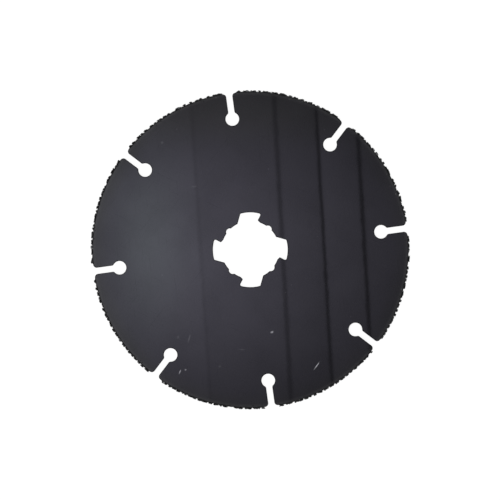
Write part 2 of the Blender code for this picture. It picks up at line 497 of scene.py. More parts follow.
@dataclass
class Effects:
    """The effects that the finishes share, each built once."""

    cloud_detail: float = 3.0
    grain_detail: float = 2.0
    tear_size: float = 0.3
    tear_detail: float = 3.0
    mark_core: float = 0.2
    mark_end: float = 0.55
    mark_streaks: Triple = (2.0, 9.0, 1.0)
    streak_whole: float = 0.55
    streak_thinnest: float = 0.45
    mottle: NodeTree = field(init=False)
    specks: NodeTree = field(init=False)
    mark: NodeTree = field(init=False)

    def __post_init__(self) -> None:
        """Builds the node groups."""
        self.mottle = self.build_mottle()
        self.specks = self.build_specks()
        self.mark = self.build_mark()

    def build_mottle(self) -> NodeTree:
        """Uneven tone: broad clouds and fine grain.

        Returns:
            A group that puts out a colour made lighter and darker, and the fine grain alone.
        """
        inputs = {"Place": Kind.VECTOR, "Colour": Kind.COLOUR}
        inputs |= dict.fromkeys(("Clouds", "Grain", "Unevenness"), Kind.NUMBER)
        sheet, given, made = effect("Mottle", inputs, {"Colour": Kind.COLOUR, "Grain": Kind.NUMBER})
        layers = []
        for scale, detail in (("Clouds", self.cloud_detail), ("Grain", self.grain_detail)):
            wanted = {"Vector": given["Place"], "Scale": given[scale], "Detail": detail}
            layers.append(sheet.add("ShaderNodeTexNoise", wanted).outputs["Fac"])
        swing = sheet.math("SUBTRACT", sheet.math("ADD", *layers), 1.0)
        tone = sheet.math("MULTIPLY_ADD", swing, given["Unevenness"], 1.0)
        sheet.feed(made["Colour"], sheet.vector("MULTIPLY", given["Colour"], tone))
        sheet.feed(made["Grain"], layers[-1])
        return sheet.tree

    def build_specks(self) -> NodeTree:
        """Small specks, such as dust and chips, scattered over a surface.

        Returns:
            A group that puts out the specks' mask.
        """
        inputs = {"Place": Kind.VECTOR}
        inputs |= dict.fromkeys(("Spread", "Size", "Share"), Kind.NUMBER)
        sheet, given, made = effect("Specks", inputs, {"Mask": Kind.NUMBER})
        cells = sheet.add("ShaderNodeTexVoronoi", {"Vector": given["Place"], "Scale": given["Spread"]})
        lot = sheet.add("ShaderNodeSeparateColor", {"Color": cells.outputs["Color"]})
        chosen = sheet.math("LESS_THAN", lot.outputs["Red"], given["Share"])
        size = sheet.math("MULTIPLY", given["Size"], lot.outputs["Green"])
        spot = sheet.math("LESS_THAN", cells.outputs["Distance"], size)
        sheet.feed(made["Mask"], sheet.math("MULTIPLY", chosen, spot))
        return sheet.tree

    def build_mark(self) -> NodeTree:
        """One short scratch or rubbed spot on a flat face.

        Returns:
            A group that puts out the mark's mask.
        """
        inputs = dict.fromkeys(("Place", "Centre"), Kind.VECTOR)
        inputs |= dict.fromkeys(("Angle", "Length", "Width"), Kind.NUMBER)
        sheet, given, made = effect("Scratch mark", inputs, {"Mask": Kind.NUMBER})
        moved = sheet.vector("SUBTRACT", given["Place"], given["Centre"])
        level = sheet.turn(moved, sheet.math("MULTIPLY", given["Angle"], -1.0))
        along = sheet.add("ShaderNodeSeparateXYZ", {"Vector": level}).outputs
        x = sheet.math("DIVIDE", along["X"], given["Length"])
        y = sheet.math("DIVIDE", along["Y"], given["Width"])
        shape = sheet.add("ShaderNodeCombineXYZ", {"X": x, "Y": y}).outputs[0]
        torn = sheet.math("SUBTRACT", sheet.noise(shape, self.tear_size, self.tear_detail), 0.5)
        reach = sheet.math("ADD", sheet.vector("LENGTH", shape), torn)
        body = sheet.ramp(reach, self.mark_core, self.mark_end, 1.0, 0.0)
        streaks = sheet.noise(sheet.vector("MULTIPLY", shape, self.mark_streaks), 1.0)
        thin = sheet.ramp(streaks, NOISE_LOW, self.streak_whole, self.streak_thinnest, 1.0)
        sheet.feed(made["Mask"], sheet.math("MULTIPLY", body, thin))
        return sheet.tree


def new_material(name: str) -> tuple[Material, NodeSheet, Node]:
    """Starts a material with a Principled BSDF.

    Args:
        name: The material's name.

    Returns:
        The material, its node sheet and its shader.
    """
    material = bpy.data.materials.new(name)
    material.use_nodes = True
    return material, NodeSheet(material.node_tree), material.node_tree.nodes["Principled BSDF"]


def bare_material(name: str) -> tuple[Material, NodeSheet]:
    """Starts a material with no nodes.

    Args:
        name: The material's name.

    Returns:
        The material and its empty node sheet.
    """
    material = bpy.data.materials.new(name)
    material.use_nodes = True
    material.node_tree.nodes.clear()
    return material, NodeSheet(material.node_tree)


@dataclass(frozen=True)
class Mark:
    """A short scratch or rubbed spot on the upper face.

    Attributes:
        x: Its middle, from the disc's axis.
        y: Its middle, from the disc's axis.
        angle: Its direction, in degrees.
        length: Its length.
        width: Its width.
        strength: How much of the coat it has taken off.
    """

    x: float
    y: float
    angle: float
    length: float
    width: float
    strength: float


@dataclass(frozen=True)
class Finish:
    """What every finish has: a colour made uneven by broad clouds and by a fine, raised grain."""

    colour: Rgba
    cloud_size: float
    grain_size: float
    grain_height: float
    unevenness: float

    def mottled(
        self, sheet: NodeSheet, effects: Effects, place: NodeSocket, colour: Any,
    ) -> tuple[NodeSocket, NodeSocket]:
        """Makes a colour uneven.

        Args:
            sheet: The material's node sheet.
            effects: The shared effects.
            place: The coordinates.
            colour: The even colour.

        Returns:
            The uneven colour, and the grain from 0 to 1.
        """
        node = sheet.group(effects.mottle, {
            "Place": place, "Colour": colour, "Clouds": 1.0 / self.cloud_size,
            "Grain": 1.0 / self.grain_size, "Unevenness": self.unevenness,
        })
        return node.outputs["Colour"], node.outputs["Grain"]


@dataclass(frozen=True)
class BlackCoat(Finish):
    """Smooth black coat on the blank: glossy on the faces, dull on the cut edges, with a painted sheen that
    makes it paler along the rim.
    """

    colour: Rgba = (0.0075, 0.0072, 0.009, 1.0)
    edge_colour: Rgba = (0.0045, 0.0045, 0.0055, 1.0)
    mark_colour: Rgba = (0.42, 0.42, 0.45, 1.0)
    dust_colour: Rgba = (0.045, 0.044, 0.05, 1.0)
    roughness: float = 0.42
    roughness_swing: float = 0.07
    edge_fade: float = 0.4
    rim_edge_fade: float = 1.2
    specular: float = 0.05
    gloss_roughness: float = 0.02
    cloud_size: float = 9.0 * MM
    grain_size: float = 0.35 * MM
    grain_height: float = 0.01 * MM
    unevenness: float = 0.35
    smudge_size: float = 22.0 * MM
    smudge_detail: float = 4.0
    smudge_start: float = 0.35
    smudge_loss: float = 0.14
    grain_loss: float = 0.08
    grain_whole: float = 0.6
    hairline_angles: tuple[float, ...] = (24.0, -52.0, 83.0)
    hairline_length: float = 16.0 * MM
    hairline_width: float = 0.16 * MM
    hairline_height: float = 1.0 * MM
    hairline_start: float = 0.66
    hairline_end: float = 0.76
    hairline_loss: float = 0.26
    # Painted sheen: the paler colour painted in a band along the rim, where that band lies, and how patchy
    # the grain makes it.
    rim_sheen_colour: Rgba = (0.0205, 0.0202, 0.0215, 1.0)
    rim_band_start: float = 60.1 * MM
    rim_band_end: float = 61.4 * MM
    rim_sheen_thinnest: float = 0.45
    wave_size: float = 7.0 * MM
    wave_height: float = 0.0016 * MM
    streak_width: float = 0.16 * MM
    streak_length: float = 3.0 * MM
    streak_height: float = 0.05 * MM
    dust_spread: float = 3.2 * MM
    dust_size: float = 0.07
    dust_share: float = 0.3
    marks: tuple[Mark, ...] = (
        Mark(26.0 * MM, -45.3 * MM, 53.0, 4.2 * MM, 0.42 * MM, 1.0),
        Mark(8.5 * MM, -32.2 * MM, 20.0, 1.5 * MM, 0.8 * MM, 0.8),
        Mark(-27.5 * MM, -47.7 * MM, 66.0, 2.1 * MM, 0.5 * MM, 0.8),
        Mark(-25.3 * MM, -46.9 * MM, 10.0, 0.9 * MM, 0.7 * MM, 0.5),
        Mark(-23.9 * MM, -34.6 * MM, 74.0, 4.2 * MM, 0.7 * MM, 0.1),
        Mark(-28.2 * MM, -34.2 * MM, 40.0, 1.6 * MM, 1.3 * MM, 0.06),
        Mark(-22.0 * MM, 24.7 * MM, 2.0, 2.9 * MM, 0.8 * MM, 0.06),
        Mark(-34.5 * MM, 41.9 * MM, 60.0, 1.5 * MM, 1.1 * MM, 0.08),
        Mark(-11.9 * MM, -45.6 * MM, 0.0, 1.2 * MM, 1.1 * MM, 0.06),
        Mark(-3.2 * MM, -39.0 * MM, -4.0, 3.0 * MM, 0.6 * MM, 0.06),
    )

    def material(self, effects: Effects, edge_band: str) -> Material:
        """Makes the coat.

        Args:
            effects: The shared effects.
            edge_band: The mesh attribute that is 1 on the cut edges.

        Returns:
            The material.
        """
        material, sheet, shader = new_material(Slot.COAT.value)
        place = sheet.add("ShaderNodeTexCoord").outputs["Object"]
        flat = sheet.vector("MULTIPLY", place, (1.0, 1.0, 0.0))
        near_rim = sheet.ramp(sheet.vector("LENGTH", flat), self.rim_band_start, self.rim_band_end, 0.0, 1.0)
        band = sheet.add("ShaderNodeAttribute", attribute_name=edge_band).outputs["Fac"]
        fade = sheet.between(near_rim, self.edge_fade, self.rim_edge_fade)
        edge = sheet.ramp(band, 0.0, fade, 0.0, 1.0)
        tone, grain = self.mottled(sheet, effects, place, self.colour)
        dust = sheet.group(effects.specks, {
            "Place": place, "Spread": 1.0 / self.dust_spread,
            "Size": self.dust_size, "Share": self.dust_share,
        }).outputs["Mask"]
        worn = self.worn(sheet, effects, place)
        colour = sheet.blend(dust, tone, self.dust_colour)
        # Painted sheen: the coat's colour is painted paler in a band along the rim, patchy with the grain.
        thin = sheet.ramp(grain, NOISE_LOW, self.grain_whole, self.rim_sheen_thinnest, 1.0)
        colour = sheet.blend(sheet.math("MULTIPLY", near_rim, thin), colour, self.rim_sheen_colour)
        colour = sheet.blend(edge, colour, self.edge_colour)
        gone = sheet.math("MAXIMUM", sheet.math("MAXIMUM", edge, worn), self.hairlines(sheet, place))
        whole = sheet.math("SUBTRACT", 1.0, gone)
        low, high = self.roughness - self.roughness_swing, self.roughness + self.roughness_swing
        upright = sheet.vector("MULTIPLY", place, (1.0, 1.0, self.streak_width / self.streak_length))
        streaks = sheet.math("MULTIPLY", sheet.noise(upright, self.streak_width), edge)
        pitted = sheet.bump(grain, self.grain_height)
        sheet.join(shader, {
            "Base Color": sheet.blend(worn, colour, self.mark_colour),
            "Roughness": sheet.ramp(grain, NOISE_LOW, NOISE_HIGH, low, high),
            "Specular IOR Level": self.specular,
            "Coat Weight": sheet.math("MULTIPLY", self.gloss(sheet, place, grain), whole),
            "Coat Roughness": self.gloss_roughness,
            "Normal": sheet.bump(streaks, self.streak_height, pitted),
            "Coat Normal": sheet.bump(sheet.noise(place, self.wave_size), self.wave_height),
        })
        return material

    def gloss(self, sheet: NodeSheet, place: NodeSocket, grain: NodeSocket) -> NodeSocket:
        """The gloss of the faces, less what smudges and pores take off.

        Args:
            sheet: The material's node sheet.
            place: The coordinates.
            grain: The coat's fine grain.

        Returns:
            The gloss, from 0 to 1.
        """
        smears = sheet.noise(place, self.smudge_size, self.smudge_detail)
        smudge = sheet.ramp(smears, self.smudge_start, NOISE_HIGH, 1.0, 1.0 - self.smudge_loss)
        pores = sheet.ramp(grain, NOISE_LOW, self.grain_whole, 1.0 - self.grain_loss, 1.0)
        return sheet.math("MULTIPLY", smudge, pores)

    def hairlines(self, sheet: NodeSheet, place: NodeSocket) -> NodeSocket:
        """Fine rub lines from handling, in a few directions over both faces.

        Args:
            sheet: The material's node sheet.
            place: The coordinates.

        Returns:
            How much gloss the lines take off.
        """
        total: Any = 0.0
        size = (self.hairline_length, self.hairline_width, self.hairline_height)
        for angle in self.hairline_angles:
            level = sheet.turn(place, math.radians(angle))
            drawn = sheet.noise(sheet.vector("DIVIDE", level, size), 1.0)
            lines = sheet.ramp(drawn, self.hairline_start, self.hairline_end, 0.0, self.hairline_loss)
            total = sheet.math("MAXIMUM", total, lines)
        return total

    def worn(self, sheet: NodeSheet, effects: Effects, place: NodeSocket) -> NodeSocket:
        """The mask of the marks on the upper face.

        Args:
            sheet: The material's node sheet.
            effects: The shared effects.
            place: The coordinates.

        Returns:
            How much of the coat is worn off, from 0 to 1.
        """
        flat = sheet.vector("MULTIPLY", place, (1.0, 1.0, 0.0))
        total: Any = 0.0
        for mark in self.marks:
            mask = sheet.group(effects.mark, {
                "Place": flat, "Centre": (mark.x, mark.y, 0.0), "Angle": math.radians(mark.angle),
                "Length": mark.length, "Width": mark.width,
            }).outputs["Mask"]
            total = sheet.math("MAXIMUM", total, sheet.math("MULTIPLY", mask, mark.strength))
        height = sheet.add("ShaderNodeSeparateXYZ", {"Vector": place}).outputs["Z"]
        return sheet.math("MULTIPLY", total, sheet.math("GREATER_THAN", height, 0.0))


@dataclass(frozen=True)
class DarkBraze(Finish):
    """Dull braze, blackened by the furnace, with paler metal on its lumps."""

    colour: Rgba = (0.016, 0.0155, 0.0155, 1.0)
    bright_colour: Rgba = (0.075, 0.068, 0.06, 1.0)
    cloud_size: float = 1.4 * MM
    grain_size: float = 0.16 * MM
    grain_height: float = 0.05 * MM
    unevenness: float = 0.9
    bare_size: float = 0.8 * MM
    bare_start: float = 0.55
    bare_end: float = 0.75
    dull_metallic: float = 0.35
    bare_metallic: float = 0.9
    smoothest: float = 0.45
    roughest: float = 0.65

    def material(self, effects: Effects) -> Material:
        """Makes the braze.

        Args:
            effects: The shared effects.

        Returns:
            The material.
        """
        material, sheet, shader = new_material(Slot.BRAZE.value)
        place = sheet.add("ShaderNodeTexCoord").outputs["Object"]
        tone, grain = self.mottled(sheet, effects, place, self.colour)
        bare = sheet.ramp(sheet.noise(place, self.bare_size), self.bare_start, self.bare_end, 0.0, 1.0)
        sheet.join(shader, {
            "Base Color": sheet.blend(bare, tone, self.bright_colour),
            "Metallic": sheet.ramp(bare, 0.0, 1.0, self.dull_metallic, self.bare_metallic),
            "Roughness": sheet.ramp(grain, NOISE_LOW, NOISE_HIGH, self.smoothest, self.roughest),
            "Normal": sheet.bump(grain, self.grain_height),
        })
        return material


@dataclass(frozen=True)
class DarkCarbide(Finish):
    """Crushed carbide: near-black grains, each with its own tone, and a few freshly broken bright ones."""

    colour: Rgba = (0.005, 0.005, 0.0054, 1.0)
    pale_colour: Rgba = (0.026, 0.026, 0.027, 1.0)
    fresh_colour: Rgba = (0.11, 0.11, 0.115, 1.0)
    fresh_share: float = 0.1
    specular: float = 0.12
    roughest: float = 0.66
    smoothest: float = 0.38
    roughness_swing: float = 0.08
    cloud_size: float = 2.2 * MM
    grain_size: float = 0.12 * MM
    grain_height: float = 0.03 * MM
    unevenness: float = 0.8

    def material(self, effects: Effects, grain_tone: str) -> Material:
        """Makes the carbide.

        Args:
            effects: The shared effects.
            grain_tone: The mesh attribute that holds each grain's tone, from 0 to 1.

        Returns:
            The material.
        """
        material, sheet, shader = new_material(Slot.GRIT.value)
        place = sheet.add("ShaderNodeTexCoord").outputs["Object"]
        own = sheet.add("ShaderNodeAttribute", attribute_name=grain_tone).outputs["Fac"]
        fresh = sheet.math("GREATER_THAN", own, 1.0 - self.fresh_share)
        dark = sheet.blend(own, self.colour, self.pale_colour)
        broken = sheet.blend(fresh, dark, self.fresh_colour)
        tone, grain = self.mottled(sheet, effects, place, broken)
        matt = sheet.between(own, self.roughest, self.smoothest)
        most = self.roughness_swing
        swing = sheet.ramp(grain, NOISE_LOW, NOISE_HIGH, -most, most)
        sheet.join(shader, {
            "Base Color": tone,
            "Metallic": fresh,
            "Roughness": sheet.math("ADD", matt, swing),
            "Specular IOR Level": self.specular,
            "Normal": sheet.bump(grain, self.grain_height),
        })
        return material


# The disc


@dataclass(frozen=True)
class RimPlan:
    """How the slots divide the rim: what the blank, the braze and the grit share."""

    blank_radius: float = 61.7 * MM
    slot_count: int = 8
    slot_phase: float = math.radians(7.83)
    slot_width: float = 2.42 * MM
    mouth_radius: float = 1.35 * MM

    @property
    def pitch(self) -> float:
        """The angle from one slot to the next."""
        return math.tau / self.slot_count

    def mouth_centre(self) -> Vector:
        """Centre of the rounded corner where a slot on the +X axis meets the rim, on its +Y side."""
        return on_circle(self.blank_radius - self.mouth_radius, self.slot_width / 2 + self.mouth_radius)

    def sector_turn(self, index: int) -> float:
        """The angle of the middle of one sector of the rim."""
        return self.slot_phase + (index + 0.5) * self.pitch

    def half_angle(self, setback: float) -> float:
        """Half the angle that a rim layer covers, if it stops this far short of the rounded corner."""
        return self.pitch / 2 - angle_of(self.mouth_centre()) - setback / self.blank_radius


@dataclass
class SteelBlank:
    """The flat plate: keyhole slots, four-lobed arbor hole, broken edges and the coat over it all."""

    plan: RimPlan
    node: str = "steel_blank"
    edge_band: str = "edge_band"
    edge_break: float = 0.12 * MM
    edge_break_steps: int = 3
    edge_band_width: float = 0.17 * MM
    sharp_angle: float = math.radians(60.0)
    smooth_angle: float = math.radians(35.0)
    flat_normal: float = 0.999

    slot_end_diameter: float = 5.3 * MM
    slot_end_inset: float = 10.1 * MM
    slot_neck_radius: float = 0.9 * MM

    pilot_radius: float = 11.25 * MM
    lobe_count: int = 4
    lobe_depth: float = 3.37 * MM
    lobe_half_width: float = 3.9 * MM
    flank_tilt: float = math.radians(15.5)
    hook_offset: float = 2.88 * MM
    hook_rise: float = 0.6 * MM
    hook_ramp_width: float = 1.0 * MM
    undercut_tilt: float = math.radians(27.5)
    flank_corner_radius: float = 0.45 * MM
    undercut_corner_radius: float = 0.6 * MM
    hook_tip_radius: float = 0.3 * MM
    notch_radius: float = 1.5 * MM
    notch_depth: float = 0.76 * MM
    notch_phase: float = math.radians(49.3)

    rim_step: float = math.radians(0.75)
    slot_step: float = math.radians(6.0)
    lobe_step: float = math.radians(2.0)
    corner_step: float = math.radians(15.0)

    def lobe_outline(self) -> list[Vector]:
        """One lobe of the arbor hole, on the +X axis, from its hooked side round to its straight side.

        Returns:
            Its points, counter-clockwise.
        """
        lobe_radius = self.pilot_radius + self.lobe_depth
        ramp_foot = on_circle(self.pilot_radius, -(self.hook_offset + self.hook_ramp_width))
        hook_tip = on_circle(self.pilot_radius + self.hook_rise, -self.hook_offset)
        undercut = line_to_circle(hook_tip, polar(1.0, -self.undercut_tilt), lobe_radius)
        flank = on_circle(lobe_radius, self.lobe_half_width)
        flank_foot = line_to_circle(flank, polar(1.0, math.pi - self.flank_tilt), self.pilot_radius)
        outer = arc(AXIS, lobe_radius, angle_of(undercut), angle_of(flank), self.lobe_step)
        past = lobe_radius * self.lobe_step
        middle = [
            point for point in outer
            if (point - undercut).length > past + self.undercut_corner_radius
            and (point - flank).length > past + self.flank_corner_radius
        ]
        return [
            ramp_foot,
            *rounded_corner(ramp_foot, hook_tip, undercut, self.hook_tip_radius, self.corner_step),
            *rounded_corner(hook_tip, undercut, middle[0], self.undercut_corner_radius, self.corner_step),
            *middle,
            *rounded_corner(middle[-1], flank, flank_foot, self.flank_corner_radius, self.corner_step),
            flank_foot,
        ]

    def notch_outline(self) -> list[Vector]:
        """The round notch in the pilot circle between the lobes on the +X and +Y axes.

        Returns:
            Its points, counter-clockwise.
        """
        reach = self.pilot_radius + self.notch_depth - self.notch_radius
        square = self.pilot_radius**2 - reach**2 - self.notch_radius**2
        half = math.acos(square / (2 * reach * self.notch_radius))
        centre = polar(reach, self.notch_phase)
        start = self.notch_phase - half
        return arc(centre, self.notch_radius, start, start + 2 * half, self.slot_step)

    def arbor_outline(self) -> list[Vector]:
        """The arbor hole: the lobes, with the pilot circle and a notch between each two.

        Returns:
            Its points, counter-clockwise.
        """
        lobe = self.lobe_outline()
        notch = self.notch_outline()
        pitch = math.tau / self.lobe_count
        pilot = self.pilot_radius
        before = arc(AXIS, pilot, angle_of(lobe[-1]), angle_of(notch[0]), self.lobe_step)
        after = arc(AXIS, pilot, angle_of(notch[-1]), angle_of(lobe[0]) + pitch, self.lobe_step)
        quarter = [*lobe, *before[1:-1], *notch, *after[1:-1]]
        return [point for i in range(self.lobe_count) for point in turned(quarter, i * pitch)]

    def slot_outline(self) -> list[Vector]:
        """A keyhole slot on the +X axis, from the rim before it round to the rim after it.

        Returns:
            Its points, counter-clockwise.
        """
        plan = self.plan
        corner = plan.mouth_centre()
        end_centre = Vector((plan.blank_radius - self.slot_end_inset, 0.0))
        end_radius = self.slot_end_diameter / 2
        neck_side = plan.slot_width / 2 + self.slot_neck_radius
        neck = end_centre + on_circle(end_radius + self.slot_neck_radius, neck_side)
        mouth = angle_of(neck - end_centre)
        half = [
            *arc(end_centre, end_radius, math.pi, mouth, self.slot_step),
            *arc(neck, self.slot_neck_radius, mouth - math.pi, -math.pi / 2, self.slot_step)[1:],
            *arc(corner, plan.mouth_radius, -math.pi / 2, angle_of(corner), self.slot_step),
        ]
        mirrored = [Vector((point.x, -point.y)) for point in reversed(half)]
        return [*mirrored[:-1], *half]

    def outline(self) -> list[Vector]:
        """The blank's outer edge: the slots, joined by stretches of the rim.

        Returns:
            Its points, counter-clockwise.
        """
        plan = self.plan
        slot = self.slot_outline()
        end = angle_of(slot[0]) + plan.pitch
        rim = arc(AXIS, plan.blank_radius, angle_of(slot[-1]), end, self.rim_step)
        sector = [*slot, *rim[1:-1]]
        turns = [plan.slot_phase + i * plan.pitch for i in range(plan.slot_count)]
        return [point for turn in turns for point in turned(sector, turn)]

    def build(self) -> Object:
        """Cuts the plate to its outline, cuts the arbor hole out of it and breaks its edges.

        Returns:
            The plate, with its cut edges marked in an attribute.
        """
        low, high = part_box(self.node)
        thickness = high.z - low.z
        plate = flat_sheet("coated_blank", self.outline(), low.z)
        thicken(plate, thickness)
        cutter = flat_sheet("arbor_cutter", self.arbor_outline(), low.z - thickness)
        thicken(cutter, 3 * thickness)
        apply_modifier(plate, "BOOLEAN", operation="DIFFERENCE", solver="EXACT", object=cutter)
        bpy.data.objects.remove(cutter)
        apply_modifier(
            plate, "BEVEL", width=self.edge_break, segments=self.edge_break_steps, limit_method="ANGLE",
            angle_limit=self.sharp_angle, use_clamp_overlap=False,
        )
        self.mark_edges(plate)
        take(plate)
        bpy.ops.object.shade_smooth_by_angle(angle=self.smooth_angle)
        return plate

    def mark_edges(self, plate: Object) -> None:
        """Insets both faces and marks all that lies outside the insets as cut edge.

        Args:
            plate: The plate, with its edges broken.
        """
        select_faces(plate, [abs(face.normal.z) > self.flat_normal for face in plate.data.polygons])
        bpy.ops.mesh.inset(thickness=self.edge_band_width, use_boundary=True, use_even_offset=True)
        bpy.ops.object.mode_set(mode="OBJECT")
        mesh = plate.data
        inner = {vert for face in mesh.polygons if face.select for vert in face.vertices}
        band = mesh.attributes.new(self.edge_band, "FLOAT", "POINT")
        band.data.foreach_set("value", [0.0 if i in inner else 1.0 for i in range(len(mesh.vertices))])

    def dress(self, plate: Object, finish: BlackCoat, effects: Effects) -> None:
        """Coats the plate and seats it."""
        plate.data.materials.append(finish.material(effects, self.edge_band))
        seat(plate, self.node)


@dataclass
class BrazeRim:
    """The beads of braze, one along the rim of each sector."""

    plan: RimPlan
    node: str = "braze_bead_{}"
    depth: float = 0.15 * MM
    overlap: float = 0.02 * MM
    width: float = 1.42 * MM
    setback: float = 0.05 * MM
    taper_length: float = 0.9 * MM
    taper_end: float = 0.3
    profile_points: int = 20
    steps: int = 220
    lump_size: float = 0.8 * MM
    lump_height: float = 0.15 * MM

    def build_bead(self) -> Object:
        """Models one bead on the +X axis: a flat oval, swept along the rim and closed at both ends.

        Returns:
            The bead, smooth and not yet in its place.
        """
        half_angle = self.plan.half_angle(self.setback)
        middle = self.plan.blank_radius - self.overlap + self.depth / 2
        put_down_everything()
        bpy.ops.mesh.primitive_circle_add(vertices=self.profile_points)
        bead = bpy.context.active_object
        upright = Matrix.Rotation(math.pi / 2, 4, "X")
        oval = Matrix.Diagonal((self.depth / 2, self.width / 2, 1.0, 1.0))
        start = about_axis(-half_angle) @ Matrix.Translation((middle, 0.0, 0.0))
        bead.data.transform(start @ upright @ oval)
        apply_modifier(bead, "SCREW", angle=2 * half_angle, steps=self.steps, render_steps=self.steps)
        bpy.ops.object.mode_set(mode="EDIT")
        bpy.ops.mesh.select_all(action="SELECT")
        bpy.ops.mesh.fill_holes(sides=0)
        bpy.ops.mesh.select_all(action="SELECT")
        bpy.ops.mesh.normals_make_consistent(inside=False)
        bpy.ops.object.mode_set(mode="OBJECT")
        self.taper_ends(bead.data, half_angle)
        return bead

    def taper_ends(self, mesh: Mesh, half_angle: float) -> None:
        """Draws both ends of the bead in towards the rim.

        Args:
            mesh: The bead's mesh, on the +X axis.
            half_angle: Half the angle that it covers.
        """
        foot = self.plan.blank_radius - self.overlap
        for vert in mesh.vertices:
            angle = angle_of(vert.co)
            share = min(1.0, (half_angle - abs(angle)) * foot / self.taper_length)
            scale = self.taper_end + (1.0 - self.taper_end) * math.sqrt(max(0.0, share))
            place = polar(foot + (vert.co.xy.length - foot) * scale, angle)
            vert.co = (place.x, place.y, vert.co.z * scale)

    def build(self) -> list[Object]:
        """Copies the bead to each sector and raises lumps of its own on each copy.

        Returns:
            The beads, in the order of the sectors.
        """
        pattern = self.build_bead()
        lumps = bpy.data.textures.new("braze_lumps", "CLOUDS")
        lumps.noise_scale = self.lump_size
        beads = []
        for i in range(self.plan.slot_count):
            mesh = pattern.data.copy()
            mesh.transform(about_axis(self.plan.sector_turn(i)))
            bead = bpy.data.objects.new(f"braze_{i + 1}", mesh)
            bpy.context.scene.collection.objects.link(bead)
            apply_modifier(
                bead, "DISPLACE", texture=lumps, strength=self.lump_height, texture_coords="LOCAL",
            )
            bpy.ops.object.shade_smooth()
            beads.append(bead)
        bpy.data.objects.remove(pattern)
        return beads

    def dress(self, beads: list[Object], finish: DarkBraze, effects: Effects) -> None:
        """Gives the beads their finish and seats them."""
        dress_all(beads, finish.material(effects), self.node)


@dataclass(frozen=True)
class GrainBatch:
    """How one grade of grain is spread along a sector.

    Attributes:
        grade: The grade.
        pitch: The distance between two grains of a row.
        sides: The middle of each row, from the plate's middle.
        side_drift: How far a grain strays from the middle of its row.
        smallest: The smallest grain.
        largest: The largest grain.
        lowest_crest: The lowest grain's crest, above the blank's rim.
        highest_crest: The highest grain's crest, above the blank's rim.
        rarity: How rare the high crests are: 1 is even.
    """

    grade: Grade
    pitch: float
    sides: tuple[float, ...]
    side_drift: float
    smallest: float
    largest: float
    lowest_crest: float
    highest_crest: float
    rarity: float


@dataclass(frozen=True)
class StrayBatch:
    """How stray grains lie on both faces of a sector, beside the rim.

    Attributes:
        pitch: The distance between two grains on one face.
        band: How far from the rim they stray.
        rarity: How rare the far ones are: 1 is even.
        smallest: The smallest grain.
        largest: The largest grain.
        lowest_crest: The lowest grain's crest, above the face.
        highest_crest: The highest grain's crest, above the face.
        root: How deep they sit.
        shortest: The shortest grain along the rim, as a share of its size.
        longest: The longest one.
    """

    pitch: float = 1.5 * MM
    band: float = 1.1 * MM
    rarity: float = 2.2
    smallest: float = 0.2 * MM
    largest: float = 0.46 * MM
    lowest_crest: float = 0.06 * MM
    highest_crest: float = 0.2 * MM
    root: float = 0.01 * MM
    shortest: float = 0.7
    longest: float = 1.3


